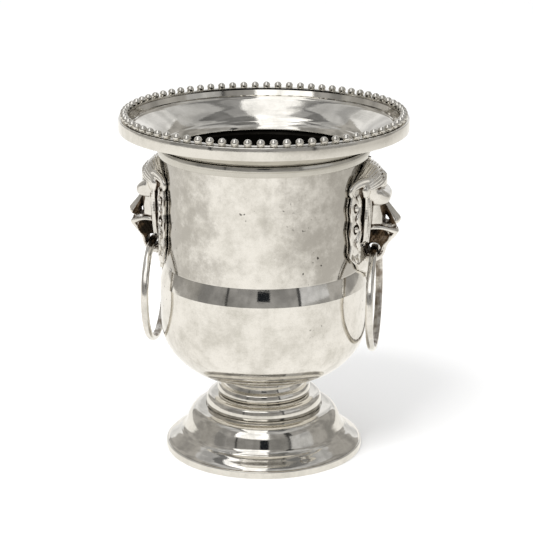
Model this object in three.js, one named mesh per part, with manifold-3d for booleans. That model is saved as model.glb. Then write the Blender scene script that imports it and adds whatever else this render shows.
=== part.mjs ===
// Silver champagne bucket: an urn-shaped bucket on a stepped foot, with a beaded rim and two lion masks
// that carry free-hanging rings. Millimetres, +Z up, origin at the centre of the foot's underside,
// masks on +X and -X.
import * as THREE from 'three';
import { mergeVertices } from 'three/addons/utils/BufferGeometryUtils.js';
import { ConvexGeometry } from 'three/addons/geometries/ConvexGeometry.js';
import Module from 'manifold-3d';

const wasm = await Module();
wasm.setup();

// ---- driving dimensions ----
const RIM_R = 104;            // outside of the rim band
const RIM_Z = 250;            // top of the rim band
const SHEET = 1.4;            // wall of the raised body
const GAP = 0.3;              // left between pieces that touch
const FOOT_R = 72.7;          // outside of the foot's rim band
const WALL_R = 72;            // outside of the body's upper wall
const BOWL_R = 75.6;          // outside of the body below its shoulder
const FLOOR_Z = 58.8;         // underside of the bowl
const COLLAR_Z = 222.4;       // underside of the neck collar
const BEADS = 72;             // beads round the rim
const BEAD_R = 2.7;
const RING_R = 37.8;          // centre line of a handle ring
const RING_W = 5.8;           // ring section along X
const RING_T = 4.4;           // ring section across the centre line
const RING_X = 81.3;          // plane of a hanging ring
const PIVOT_Z = 156.2;        // ring's centre line where it rests in the jaw
const SEGMENTS = 40;          // facets round the large turned pieces
const SMALL_SEGMENTS = 32;    // facets round the stem's pieces
const BOLT_R = 3;             // foot bolt's shank
const SCREW_R = 2;            // mask screws' shank
const HOLE_CLEARANCE = 0.3;   // round a shank
const SCREW_HEIGHTS = { upper: 205, lower: 147 };

const object = new THREE.Group();
object.name = 'champagne_bucket';

// ---- helpers ----
function toManifold(geometry) {
  const bare = new THREE.BufferGeometry();
  bare.setAttribute('position', geometry.getAttribute('position').clone());
  if (geometry.index) bare.setIndex(geometry.index.clone());
  const welded = mergeVertices(bare, 1e-4);
  const vertProperties = new Float32Array(welded.getAttribute('position').array);
  const triVerts = new Uint32Array(welded.index.array);
  return new wasm.Manifold(new wasm.Mesh({ numProp: 3, vertProperties, triVerts }));
}

function toGeometry(manifold) {
  const mesh = manifold.getMesh();
  const geometry = new THREE.BufferGeometry();
  geometry.setAttribute('position', new THREE.BufferAttribute(new Float32Array(mesh.vertProperties), 3));
  geometry.setIndex(new THREE.BufferAttribute(new Uint32Array(mesh.triVerts), 1));
  geometry.computeVertexNormals();
  return geometry;
}

function addPiece(name, manifold, colour, roughness) {
  const material = new THREE.MeshStandardMaterial({ color: colour, roughness, metalness: 1 });
  const mesh = new THREE.Mesh(toGeometry(manifold), material);
  mesh.name = name;
  object.add(mesh);
}

// Turns a closed outline of [radius, height] points about Z. The outline runs anticlockwise.
function turned(outline, segments) {
  let doubleArea = 0;
  outline.forEach(([r, z], i) => {
    const [nextR, nextZ] = outline[(i + 1) % outline.length];
    doubleArea += r * nextZ - nextR * z;
  });
  const ordered = doubleArea > 0 ? outline : [...outline].reverse();
  const points = [...ordered, ordered[0]].map(([r, z]) => new THREE.Vector2(r, z));
  return toManifold(new THREE.LatheGeometry(points, segments).rotateX(Math.PI / 2));
}

// A rectangle of [radius, height] turned about Z.
function band(innerR, outerR, lowZ, highZ, segments) {
  return turned([[innerR, lowZ], [outerR, lowZ], [outerR, highZ], [innerR, highZ]], segments);
}

// A plain round bar along X or Z, centred at (x, y, z).
function bar(radius, length, axis, x, y, z, sides) {
  const geometry = new THREE.CylinderGeometry(radius, radius, length, sides);
  if (axis === 'x') geometry.rotateZ(Math.PI / 2);
  if (axis === 'z') geometry.rotateX(Math.PI / 2);
  return toManifold(geometry.translate(x, y, z));
}

// The convex block round points given as [x, half-width, z], mirrored across Y.
function block(points) {
  const corners = points.flatMap(([x, y, z]) => [new THREE.Vector3(x, y, z), new THREE.Vector3(x, -y, z)]);
  return toManifold(new ConvexGeometry(corners));
}

function mirroredX(manifold) {
  return manifold.mirror([1, 0, 0]);
}

// ---- body: raised wall, shoulder and bowl, open at the neck ----
const NECK_TOP_Z = 225;
const NECK_R = WALL_R + 1.9;
const SHOULDER_TOP_Z = 142;
const SHOULDER_BASE_Z = 129.3;
// Outside of the body from the neck down to the edge of the bowl's flat base.
const bodyOutside = [
  [NECK_R, NECK_TOP_Z],
  [NECK_R, COLLAR_Z + 1.2],
  [WALL_R + 0.4, COLLAR_Z - 1],
  [WALL_R, SHOULDER_TOP_Z],
  [BOWL_R, SHOULDER_BASE_Z],
  [BOWL_R, 104],
  [75.2, 95],
  [73.9, 88],
  [71.2, 81.6],
  [67, 75.4],
  [61, 69],
  [54, 63.8],
  [46, 60.4],
  [38, FLOOR_Z],
];
// Inside of the same sheet, from the floor up.
const bodyInside = [
  [37, FLOOR_Z + SHEET],
  [45, 61.9],
  [53, 65.2],
  [59.8, 70.2],
  [65.6, 76.3],
  [69.8, 82.4],
  [72.4, 88.4],
  [73.8, 95.2],
  [BOWL_R - SHEET, 104],
  [BOWL_R - SHEET, SHOULDER_BASE_Z - 0.2],
  [WALL_R - SHEET, SHOULDER_TOP_Z - 0.2],
  [WALL_R + 0.4 - SHEET, COLLAR_Z - 2],
  [NECK_R - SHEET, COLLAR_Z + 0.6],
  [NECK_R - SHEET, NECK_TOP_Z],
];
const boltHoleR = BOLT_R + HOLE_CLEARANCE;
let body = turned([...bodyOutside, [boltHoleR, FLOOR_Z], [boltHoleR, FLOOR_Z + SHEET], ...bodyInside], SEGMENTS);
for (const side of [1, -1]) {
  for (const z of Object.values(SCREW_HEIGHTS)) {
    body = body.subtract(bar(SCREW_R + HOLE_CLEARANCE, 12, 'x', side * WALL_R, 0, z, 12));
  }
}
addPiece('bucket_body', body, 0xcdcac2, 0.28);

// ---- rim: trumpet flange, beaded wire, band and neck collar ----
const LIP_Z = 249;            // flat lip that the beaded wire sits on
const flangeTop = [
  [97.6, LIP_Z],
  [96.5, 245.2],
  [94.6, 244.5],
  [93.2, 242.9],
  [88, 239.6],
  [82, 236.2],
  [77, 232.8],
  [73.5, 229.4],
  [71.3, 226.3],
  [70.3, 223.4],
];
const flangeUnder = [
  [71.7, 223.4],
  [72.2, 225.1],
  [74.7, 228.6],
  [78, 231.6],
  [88.6, 237.9],
  [96, 242.4],
  [97.8, 244.4],
  [98.9, LIP_Z - SHEET],
  [102, LIP_Z - SHEET],
  [102, LIP_Z],
];
addPiece('rim_flange', turned([...flangeTop, ...flangeUnder], SEGMENTS), 0xcfcdc8, 0.14);

const BEAD_CIRCLE_R = 100;
const WIRE_Z = LIP_Z + GAP;
let beads = band(BEAD_CIRCLE_R - 2.1, BEAD_CIRCLE_R + 1.8, WIRE_Z, WIRE_Z + 1.3, BEADS);
const beadList = [];
for (let i = 0; i < BEADS; i += 1) {
  const angle = (i + 0.5) * 2 * Math.PI / BEADS;
  const bead = new THREE.SphereGeometry(BEAD_R, 6, 4).rotateX(Math.PI / 2);
  bead.rotateZ(angle);
  bead.translate(BEAD_CIRCLE_R * Math.cos(angle), BEAD_CIRCLE_R * Math.sin(angle), WIRE_Z + BEAD_R + 0.05);
  beadList.push(toManifold(bead));
}
beads = wasm.Manifold.union([beads, ...beadList]);
addPiece('bead_border', beads, 0xcfcdc8, 0.16);

const BAND_BASE_Z = 240.8;
const rimBand = turned([
  [102.6, RIM_Z], [102.6, BAND_BASE_Z], [RIM_R - 0.3, BAND_BASE_Z], [RIM_R, BAND_BASE_Z + 0.5],
  [RIM_R, RIM_Z - 0.5], [RIM_R - 0.4, RIM_Z],
], SEGMENTS);
addPiece('rim_band', rimBand, 0xcfcdc8, 0.14);

const COLLAR_R = 77;
const collarInnerR = NECK_R + GAP;
const collar = turned([
  [collarInnerR, COLLAR_Z], [COLLAR_R - 1, COLLAR_Z], [COLLAR_R - 0.5, COLLAR_Z + 3.6],
  [COLLAR_R, COLLAR_Z + 4], [COLLAR_R, 230.1], [collarInnerR, 227.4],
], SEGMENTS);
addPiece('neck_collar', collar, 0xcfcdc8, 0.18);

// ---- stem: turned spool with its ring, and the ring that seats it on the foot ----
const SPOOL_BASE_Z = 41.9;
const spool = turned([
  [24, FLOOR_Z - GAP], [24, SPOOL_BASE_Z], [34, SPOOL_BASE_Z], [34.6, 42.8], [34.6, 45.4], [33.4, 47.6],
  [31.2, 48.9], [30, 49.4], [30.4, 51.2], [29.4, 53], [30, 55], [29.6, 57], [33, FLOOR_Z - GAP],
], SMALL_SEGMENTS);
addPiece('stem_spool', spool, 0xcfcdc8, 0.12);

const STEM_RING_BASE_Z = 30.6;
const stemRing = turned([
  [27, SPOOL_BASE_Z - GAP], [27, STEM_RING_BASE_Z], [42.2, STEM_RING_BASE_Z], [42.3, 33.6], [43, 35.4],
  [42.9, 37.6], [41.6, 39.8], [38.6, 41.2], [35, SPOOL_BASE_Z - GAP],
], SMALL_SEGMENTS);
addPiece('stem_ring', stemRing, 0xcfcdc8, 0.12);

// ---- foot: domed and stepped shell, with a band round its base ----
const SEAT_Z = STEM_RING_BASE_Z - GAP;
const footOutside = [
  [boltHoleR, SEAT_Z],
  [42.6, SEAT_Z],
  [43, 31.7],
  [47.6, 31.4],
  [50.8, 30.1],
  [53.4, 27.6],
  [55.6, 23.8],
  [57.4, 19.4],
  [58.8, 15.6],
  [60.6, 13.4],
  [62.4, 12.8],
  [63, 11.8],
  [67, 10.8],
  [70, 8.6],
  [71.6, 5.6],
];
const footInside = [
  [70.2, 5.6],
  [69, 7.6],
  [66.4, 9.4],
  [61.8, 10.6],
  [59.6, 12.2],
  [57.5, 14.8],
  [56, 18.8],
  [54.2, 22.9],
  [52.2, 26.4],
  [49.6, 28.7],
  [46, SEAT_Z - SHEET],
  [boltHoleR, SEAT_Z - SHEET],
];
addPiece('foot_shell', turned([...footOutside, ...footInside], SEGMENTS), 0xcfcdc8, 0.12);

const FOOT_BAND_TOP_Z = 5.6 - GAP;
const footBand = turned([
  [69.6, FOOT_BAND_TOP_Z], [69.6, 0], [FOOT_R - 0.3, 0], [FOOT_R, 0.4], [FOOT_R, 4.6], [72.2, FOOT_BAND_TOP_Z],
], SEGMENTS);
addPiece('foot_rim_band', footBand, 0xcfcdc8, 0.16);

// ---- foot fixing: bolt through the floor and stem, washer and nut under the foot ----
const BOLT_END_Z = 17;
const BOLT_HEAD_Z = FLOOR_Z + SHEET + GAP;
const boltLength = BOLT_HEAD_Z - BOLT_END_Z + 1;
const boltHead = turned([[0, BOLT_HEAD_Z], [8.5, BOLT_HEAD_Z], [7.6, BOLT_HEAD_Z + 1.8], [0, BOLT_HEAD_Z + 3]], 20);
const bolt = boltHead.add(bar(BOLT_R, boltLength, 'z', 0, 0, BOLT_END_Z + boltLength / 2, 16));
addPiece('foot_bolt', bolt, 0x9a958a, 0.35);
const WASHER_TOP_Z = SEAT_Z - SHEET - GAP;
const WASHER_BASE_Z = WASHER_TOP_Z - 1.5;
addPiece('foot_washer', band(boltHoleR, 12, WASHER_BASE_Z, WASHER_TOP_Z, 24), 0x9a958a, 0.4);
const NUT_TOP_Z = WASHER_BASE_Z - GAP;
const NUT_HEIGHT = 5;
const nutBlank = bar(6.4, NUT_HEIGHT, 'z', 0, 0, NUT_TOP_Z - NUT_HEIGHT / 2, 6);
const nutHole = bar(boltHoleR, NUT_HEIGHT + 2, 'z', 0, 0, NUT_TOP_Z - NUT_HEIGHT / 2, 16);
addPiece('foot_nut', nutBlank.subtract(nutHole), 0x9a958a, 0.4);

// ---- lion mask on +X, cut to the body's curve; the open mouth runs through it along Y ----
const maskBack = turned([
  [0, 120], [BOWL_R + 0.4, 120], [BOWL_R + 0.4, SHOULDER_BASE_Z + 0.2], [WALL_R + 0.5, SHOULDER_TOP_Z + 0.2],
  [WALL_R + 0.9, COLLAR_Z + 6], [0, COLLAR_Z + 6],
], 96);
const MOUTH_BACK_X = 77.2;
const MOUTH_TOP_Z = 170;
const MOUTH_BASE_Z = 152;
const mane = toManifold(new THREE.SphereGeometry(1, 14, 10).rotateX(Math.PI / 2).scale(13, 33, 37).translate(70, 0, 184.6));
const mouth = block([
  [MOUTH_BACK_X, 40, MOUTH_BASE_Z], [MOUTH_BACK_X, 40, MOUTH_TOP_Z], [110, 40, MOUTH_TOP_Z], [110, 40, MOUTH_BASE_Z],
]);
const head = block([
  [70, 19, 212], [86, 11, 210], [93, 12, 197], [92.5, 13, 191], [101, 4.5, 180.5], [100.5, 6, 174],
  [96, 9, MOUTH_TOP_Z + 0.4], [70, 17, MOUTH_TOP_Z + 0.4],
]);
const muzzleFront = block([[101, 6, 178], [101, 6, 169], [97, 7, 169], [95, 8, 175]]);
const jaw = block([[101, 6, 170.5], [97.2, 6, 171.5], [86.2, 7, 153.4], [88.2, 7, 151.2]]);
const chin = block([[88.6, 7, 151.8], [85.6, 7, 152.6], [80, 8, MOUTH_BASE_Z - 0.2], [70, 9, 151], [70, 8, 142], [83.6, 5, 143.4]]);
const beard = block([[70, 12, 158], [77, 10, 156], [77, 8, 150], [81, 5, 144], [76.8, 2, 136.4], [70, 4, 136.4]]);
let mask = mane.subtract(mouth).add(head).add(muzzleFront).add(jaw).add(chin).add(beard).subtract(maskBack);
for (const z of Object.values(SCREW_HEIGHTS)) {
  mask = mask.subtract(bar(SCREW_R + HOLE_CLEARANCE, 16, 'x', WALL_R, 0, z, 12));
}
addPiece('lion_mask_right', mask, 0xc6c2b8, 0.24);
addPiece('lion_mask_left', mirroredX(mask), 0xc6c2b8, 0.24);

// ---- mask screws, from inside the bucket ----
function maskScrew(z) {
  const HEAD_LENGTH = 2.4;
  const headFaceX = WALL_R - SHEET - 0.6;
  const screwHead = bar(4.2, HEAD_LENGTH, 'x', headFaceX - HEAD_LENGTH / 2, 0, z, 12);
  const shankLength = 11;
  const shank = bar(SCREW_R, shankLength, 'x', headFaceX - 1 + shankLength / 2, 0, z, 8);
  return screwHead.add(shank);
}
for (const [place, z] of Object.entries(SCREW_HEIGHTS)) {
  addPiece(`mask_screw_right_${place}`, maskScrew(z), 0x9a958a, 0.35);
  addPiece(`mask_screw_left_${place}`, mirroredX(maskScrew(z)), 0x9a958a, 0.35);
}

// ---- handle ring: an oval section swept round a circle in the YZ plane ----
function handleRing() {
  const section = new THREE.Shape();
  section.absellipse(0, 0, RING_T / 2, RING_W / 2, 0, 2 * Math.PI, false, 0);
  const ringPath = new THREE.Curve();
  ringPath.getPoint = (t) => {
    const angle = 2 * Math.PI * t;
    return new THREE.Vector3(0, RING_R * Math.sin(angle), RING_R * Math.cos(angle));
  };
  const RING_STEPS = 36;
  const outline = section.getPoints(5).slice(0, -1);
  const positions = [];
  const indices = [];
  for (let i = 0; i < RING_STEPS; i += 1) {
    const spoke = ringPath.getPoint(i / RING_STEPS).normalize();
    for (const { x: across, y: along } of outline) {
      const radius = RING_R + across;
      positions.push(along, spoke.y * radius, spoke.z * radius);
    }
  }
  const count = outline.length;
  for (let i = 0; i < RING_STEPS; i += 1) {
    for (let j = 0; j < count; j += 1) {
      const a = i * count + j;
      const b = i * count + (j + 1) % count;
      const c = ((i + 1) % RING_STEPS) * count + j;
      const d = ((i + 1) % RING_STEPS) * count + (j + 1) % count;
      indices.push(a, b, c, b, d, c);
    }
  }
  const geometry = new THREE.BufferGeometry();
  geometry.setAttribute('position', new THREE.Float32BufferAttribute(positions, 3));
  geometry.setIndex(indices);
  return toManifold(geometry.translate(RING_X, 0, PIVOT_Z - RING_R));
}
const ring = handleRing();
addPiece('ring_handle_right', ring, 0xc9c5ba, 0.2);
addPiece('ring_handle_left', mirroredX(ring), 0xc9c5ba, 0.2);

export default object;
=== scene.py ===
"""The looks of the silver champagne bucket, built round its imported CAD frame. Metres, +Z up."""
import math

import bpy
import numpy as np
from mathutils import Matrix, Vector


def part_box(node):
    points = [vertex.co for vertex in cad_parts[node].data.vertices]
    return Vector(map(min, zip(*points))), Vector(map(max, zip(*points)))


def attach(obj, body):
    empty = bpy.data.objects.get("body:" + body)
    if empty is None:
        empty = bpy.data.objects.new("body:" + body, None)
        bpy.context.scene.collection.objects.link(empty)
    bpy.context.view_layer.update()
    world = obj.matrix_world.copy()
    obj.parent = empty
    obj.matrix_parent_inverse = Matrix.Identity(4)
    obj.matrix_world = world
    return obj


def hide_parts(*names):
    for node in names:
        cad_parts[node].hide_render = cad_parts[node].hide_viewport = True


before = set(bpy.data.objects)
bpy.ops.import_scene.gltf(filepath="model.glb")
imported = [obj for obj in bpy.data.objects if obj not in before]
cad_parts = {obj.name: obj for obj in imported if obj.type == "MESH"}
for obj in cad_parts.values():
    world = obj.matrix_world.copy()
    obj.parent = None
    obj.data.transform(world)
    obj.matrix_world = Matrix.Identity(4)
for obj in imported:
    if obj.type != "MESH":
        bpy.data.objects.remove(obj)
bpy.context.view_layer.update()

MM = 0.001


# ---------------------------------------------------------------- sizes, from the frame
def low(node):
    return np.array(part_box(node)[0]) / MM


def high(node):
    return np.array(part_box(node)[1]) / MM


# All of these are in mm. R is a radius, Z a height.
SHEET = 1.4                                   # thickness of the sheet
GAP = 0.3                                     # between pieces that touch
COLLAR_OVERHANG = 5                           # of the collar past the wall
NECK_FLARE = 1.9                              # of the neck past the wall
RIM_R = high("rim_band")[0]
RIM_Z = high("rim_band")[2]
RIM_BASE_Z = low("rim_band")[2]
LIP_R = high("rim_flange")[0]
LIP_Z = high("rim_flange")[2]
THROAT_Z = low("rim_flange")[2]
COLLAR_R = high("neck_collar")[0]
COLLAR_Z = low("neck_collar")[2]
NECK_Z = high("bucket_body")[2]
BOWL_R = high("bucket_body")[0]
FLOOR_Z = low("bucket_body")[2]
WALL_R = COLLAR_R - COLLAR_OVERHANG
NECK_R = WALL_R + NECK_FLARE
SHOULDER_TOP = 142
SHOULDER_BASE = 129.3
SHOULDER_BULGE = 0.28                         # past a straight cone
SHOULDER_STEPS = 5
SPOOL_R = high("stem_spool")[0]
SPOOL_Z = low("stem_spool")[2]
STEM_RING_R = high("stem_ring")[0]
STEM_RING_Z = low("stem_ring")[2]
FOOT_SHELL_Z = low("foot_shell")[2]
FOOT_R = high("foot_rim_band")[0]
BOLT_HOLE_R = 3.3
BEAD_R = 2.85
BEAD_INSET = 2.7                              # of the beads' circle from the border's edge
BEAD_CIRCLE_R = high("bead_border")[0] - BEAD_INSET
BEAD_COUNT = 72
RING_W = high("ring_handle_right")[0] - low("ring_handle_right")[0]
RING_T = 4.4                                  # the ring bar's thickness in the ring's plane
RING_X = (high("ring_handle_right")[0] + low("ring_handle_right")[0]) / 2
RING_R = (high("ring_handle_right")[2] - low("ring_handle_right")[2] - RING_T) / 2
RING_Z = (high("ring_handle_right")[2] + low("ring_handle_right")[2]) / 2
PIVOT_Z = RING_Z + RING_R
AROUND = 224                                  # facets round the large turned pieces

# ---------------------------------------------------------------- camera, in metres
CAMERA_AZIMUTH = math.radians(8.7)            # from -Y towards +X
CAMERA_DISTANCE = 1.352                       # across the floor, from the bucket's axis
CAMERA_HEIGHT = 0.5407
AIM_HEIGHT = 0.1369
LENS = 130.26                                 # focal length in mm, as is the sensor's width
SENSOR_WIDTH = 36
SHIFT = (0.0049, 0.0009)
CLIP_END = 50


def toward_camera(distance, azimuth=0.0, height=0.0):
    """A point at a distance from the axis, at an azimuth from the camera's own."""
    angle = CAMERA_AZIMUTH + azimuth
    return Vector((distance * math.sin(angle), -distance * math.cos(angle), height))


def make_camera():
    data = bpy.data.cameras.new("camera")
    camera = bpy.data.objects.new("camera", data)
    bpy.context.scene.collection.objects.link(camera)
    camera.location = toward_camera(CAMERA_DISTANCE, 0, CAMERA_HEIGHT)
    view = Vector((0, 0, AIM_HEIGHT)) - camera.location
    camera.rotation_euler = view.to_track_quat("-Z", "Y").to_euler()
    data.lens = LENS
    data.sensor_width = SENSOR_WIDTH
    data.shift_x, data.shift_y = SHIFT
    data.clip_end = CLIP_END
    bpy.context.scene.camera = camera


make_camera()


# ---------------------------------------------------------------- material helpers
def new_material(name):
    material = bpy.data.materials.new(name)
    material.use_nodes = True
    nodes = material.node_tree.nodes
    return material, nodes, material.node_tree.links, nodes["Principled BSDF"]


def stretched_coords(nodes, links, scale):
    coords = nodes.new("ShaderNodeTexCoord")
    mapping = nodes.new("ShaderNodeMapping")
    mapping.inputs["Scale"].default_value = scale
    links.new(coords.outputs["Object"], mapping.inputs["Vector"])
    return mapping.outputs["Vector"]


def noise(nodes, links, scale, detail=4.0, roughness=0.55, stretch=(1, 1, 1)):
    texture = nodes.new("ShaderNodeTexNoise")
    texture.inputs["Scale"].default_value = scale
    texture.inputs["Detail"].default_value = detail
    texture.inputs["Roughness"].default_value = roughness
    links.new(stretched_coords(nodes, links, stretch), texture.inputs["Vector"])
    return texture.outputs["Fac"]


def ramp(nodes, links, source, start, end, low_value=0.0, high_value=1.0):
    """Maps start..end of a source to low_value..high_value, smoothly."""
    node = nodes.new("ShaderNodeMapRange")
    node.interpolation_type = "SMOOTHSTEP"
    node.inputs["From Min"].default_value = start
    node.inputs["From Max"].default_value = end
    node.inputs["To Min"].default_value = low_value
    node.inputs["To Max"].default_value = high_value
    links.new(source, node.inputs["Value"])
    return node.outputs["Result"]


def mix_colour(nodes, links, factor, a, b):
    node = nodes.new("ShaderNodeMix")
    node.data_type = "RGBA"
    links.new(factor, node.inputs["Factor"])
    for socket, value in ((node.inputs[6], a), (node.inputs[7], b)):
        if isinstance(value, tuple):
            socket.default_value = (*value, 1)
        else:
            links.new(value, socket)
    return node.outputs[2]


def math_node(nodes, links, operation, a, b):
    node = nodes.new("ShaderNodeMath")
    node.operation = operation
    for socket, value in zip(node.inputs, (a, b)):
        if isinstance(value, (int, float)):
            socket.default_value = value
        else:
            links.new(value, socket)
    return node.outputs[0]


BUMP_DEPTH = 0.0004                           # metres
SILVER = (0.86, 0.835, 0.79)
WORN_SILVER = (0.79, 0.765, 0.715)
# painted shade: the collar, under the rim's overhang, gets a darker silver
COLLAR_SHADE_SILVER = (0.62, 0.60, 0.55)
CLOUDED = (0.56, 0.54, 0.49)
# painted shade on the wall towards the masks
MASK_SIDE_SHADE = (0.42, 0.40, 0.365)
# brown of tarnish in hollows, also used as painted shade
TARNISH_AND_SHADE = (0.16, 0.105, 0.06)
# black of real pits, also used as painted shade in deep hollows and the mouth
PIT_AND_SHADE_BLACK = (0.02, 0.016, 0.012)
DULL_BRASS = (0.55, 0.5, 0.4)
UNLIT = (0.02, 0.018, 0.015)                  # the inside, in its own shade
UNLIT_DEEP = (0.008, 0.007, 0.006)
CLOUD_SIZE = 38                               # noise scales: the higher, the finer
SCRATCH_SIZE = 60
SCRATCH_STRETCH = (1, 1, 26)                  # scratches run round the bucket
GRAIN_SIZE = 900
WAVE_SIZE = 24
SCRATCH_HEIGHT = 0.03                         # as shares of the waves' height
GRAIN_HEIGHT = 0.012


def split_position(nodes, links):
    """The X, Y and Z of the surface, in metres, as the outputs of one node."""
    place = nodes.new("ShaderNodeTexCoord")
    split = nodes.new("ShaderNodeSeparateXYZ")
    links.new(place.outputs["Object"], split.inputs["Vector"])
    return split.outputs


def surface_height(nodes, links, grain):
    """Slow waves in the sheet, with fine scratches and grain on them."""
    waves = noise(nodes, links, WAVE_SIZE, 1, 0.4)
    scratches = noise(nodes, links, SCRATCH_SIZE, 3, 0.6, SCRATCH_STRETCH)
    height = math_node(nodes, links, "MULTIPLY", scratches, SCRATCH_HEIGHT)
    grain_height = math_node(nodes, links, "MULTIPLY", grain, GRAIN_HEIGHT)
    height = math_node(nodes, links, "ADD", height, grain_height)
    return math_node(nodes, links, "ADD", height, waves)


def shade_near_masks(nodes, links, colour):
    """Painted shade: the wall above the shoulder is darker the nearer it is to a mask."""
    place = split_position(nodes, links)
    sideways = math_node(nodes, links, "ABSOLUTE", place["X"], 0)
    mottle = ramp(nodes, links, noise(nodes, links, 55, 10, 0.74), 0.30, 0.70, -0.022, 0.022)
    sideways = math_node(nodes, links, "ADD", sideways, mottle)
    wall_shade = ramp(nodes, links, sideways, 0.008, 0.062, 0.0, 0.9)
    above = ramp(nodes, links, place["Z"], 0.1405, 0.1435)
    wall_shade = math_node(nodes, links, "MULTIPLY", wall_shade, above)
    return mix_colour(nodes, links, wall_shade, colour, MASK_SIDE_SHADE)


def pitted(nodes, links, colour, amount):
    """Small black pits, gathered in a few regions."""
    spots = ramp(nodes, links, noise(nodes, links, 330, 1, 0.4), 0.70, 0.76)
    region = ramp(nodes, links, noise(nodes, links, 22, 2, 0.5), 0.52, 0.62)
    pit = math_node(nodes, links, "MULTIPLY", spots, region)
    pit = math_node(nodes, links, "MULTIPLY", pit, amount)
    return mix_colour(nodes, links, pit, colour, PIT_AND_SHADE_BLACK)


def tarnish_and_shade_hollows(nodes, links, colour, roughness):
    """Tarnish and painted shade: brown, then black, where the mesh's own hollow attribute is high."""
    attribute = nodes.new("ShaderNodeAttribute")
    attribute.attribute_name = "hollow"
    uneven = ramp(nodes, links, noise(nodes, links, 160, 4), 0.3, 0.7, -0.16, 0.16)
    depth = math_node(nodes, links, "ADD", attribute.outputs["Fac"], uneven)
    colour = mix_colour(nodes, links, ramp(nodes, links, depth, 0.42, 0.95), colour, TARNISH_AND_SHADE)
    colour = mix_colour(nodes, links, ramp(nodes, links, depth, 0.78, 1.12), colour, PIT_AND_SHADE_BLACK)
    rough_hollow = ramp(nodes, links, depth, 0.25, 0.8, 0.0, 0.35)
    return colour, math_node(nodes, links, "ADD", roughness, rough_hollow)


def silver(name, clean_roughness, cloud, bump, clean=SILVER, dull=CLOUDED,
           pits=0.0, hollows=False, by_masks=False):
    """Silver plate: clouded in patches, finely scratched, and darkened where asked: pits, tarnish and painted
    shade in hollows, painted shade near the masks.
    """
    material, nodes, links, shader = new_material(name)
    shader.inputs["Metallic"].default_value = 1.0
    patches = ramp(nodes, links, noise(nodes, links, CLOUD_SIZE, 10, 0.74), 0.38, 0.72)
    grain = noise(nodes, links, GRAIN_SIZE, 2, 0.5)
    clouding = math_node(nodes, links, "MULTIPLY", patches, cloud)
    colour = mix_colour(nodes, links, clouding, clean, dull)
    grain_amount = ramp(nodes, links, grain, 0.35, 0.75, 0.0, 0.16 * cloud)
    colour = mix_colour(nodes, links, grain_amount, colour, dull)
    roughness = ramp(nodes, links, patches, 0.0, 1.0, clean_roughness, clean_roughness + 0.10 * cloud)
    # painted shade on the upper wall, darker nearer the masks
    if by_masks:
        colour = shade_near_masks(nodes, links, colour)
    if pits:
        colour = pitted(nodes, links, colour, pits)
    if hollows:
        colour, roughness = tarnish_and_shade_hollows(nodes, links, colour, roughness)
    links.new(colour, shader.inputs["Base Color"])
    links.new(roughness, shader.inputs["Roughness"])
    bump_node = nodes.new("ShaderNodeBump")
    bump_node.inputs["Strength"].default_value = bump
    bump_node.inputs["Distance"].default_value = BUMP_DEPTH
    links.new(surface_height(nodes, links, grain), bump_node.inputs["Height"])
    links.new(bump_node.outputs["Normal"], shader.inputs["Normal"])
    return material


body_silver = silver("body_silver", 0.06, 0.9, 1.0, pits=1.0, by_masks=True)
polished_silver = silver("polished_silver", 0.055, 0.75, 1.6, clean=WORN_SILVER)
rim_silver = silver("rim_silver", 0.07, 0.7, 1.0, clean=WORN_SILVER)
# the collar's darker silver is painted shade under the rim
collar_silver = silver("collar_silver", 0.12, 0.9, 1.2, clean=COLLAR_SHADE_SILVER)
# tarnish and painted shade in the hollows, from each mesh's hollow attribute
cast_silver = silver("cast_silver", 0.15, 0.7, 0.8, hollows=True)
fastener_metal = silver("fastener_metal", 0.28, 0.8, 0.8, clean=DULL_BRASS)
# painted shade: the bucket's inside gets a near-black colour
inside_shade_material = silver("inside_shade_material", 0.45, 0.9, 0.6, clean=UNLIT, dull=UNLIT_DEEP)


# ---------------------------------------------------------------- mesh helpers
def link_piece(name, mesh, body, nodes, material):
    piece = bpy.data.objects.new(name, mesh)
    bpy.context.scene.collection.objects.link(piece)
    mesh.materials.append(material)
    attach(piece, body)
    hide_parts(*nodes)
    return piece


def mesh_from(name, vertices_mm, faces, sharp_degrees=35):
    mesh = bpy.data.meshes.new(name)
    mesh.from_pydata([tuple(v) for v in np.asarray(vertices_mm) * MM], [], faces)
    mesh.validate()
    mesh.shade_smooth()
    mesh.set_sharp_from_angle(angle=math.radians(sharp_degrees))
    return mesh


def curve(points, steps=6):
    """A smooth run (Catmull-Rom) through points in a plane or in space."""
    p = np.array(points, dtype=float)
    ends = np.vstack([2 * p[0] - p[1], p, 2 * p[-1] - p[-2]])
    run = []
    for a, b, c, d in zip(ends, ends[1:], ends[2:], ends[3:]):
        for t in np.arange(steps) / steps:
            run.append(0.5 * (2 * b + (c - a) * t + (2 * a - 5 * b + 4 * c - d) * t ** 2
                              + (3 * b - a - 3 * c + d) * t ** 3))
    run.append(p[-1])
    return [tuple(q) for q in run]


def outline_is_clockwise(outline):
    area = sum(a[0] * b[1] - b[0] * a[1] for a, b in zip(outline, outline[1:] + outline[:1]))
    return area < 0


def turned_mesh(name, outline, around=AROUND, sharp_degrees=35):
    """Turns a closed outline of (radius, height), in mm, about Z."""
    if outline_is_clockwise(outline):
        outline = outline[::-1]
    count = len(outline)
    angles = np.arange(around) * 2 * math.pi / around
    vertices = [(r * math.cos(a), r * math.sin(a), z) for a in angles for r, z in outline]
    faces = []
    for i in range(around):
        j = (i + 1) % around
        for k in range(count):
            m = (k + 1) % count
            faces.append((i * count + k, j * count + k, j * count + m, i * count + m))
    return mesh_from(name, vertices, faces, sharp_degrees)


def turned_piece(name, outline, node, material, sharp_degrees=35):
    mesh = turned_mesh(name, outline, AROUND, sharp_degrees)
    return link_piece(name, mesh, "root", [node], material)


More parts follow.
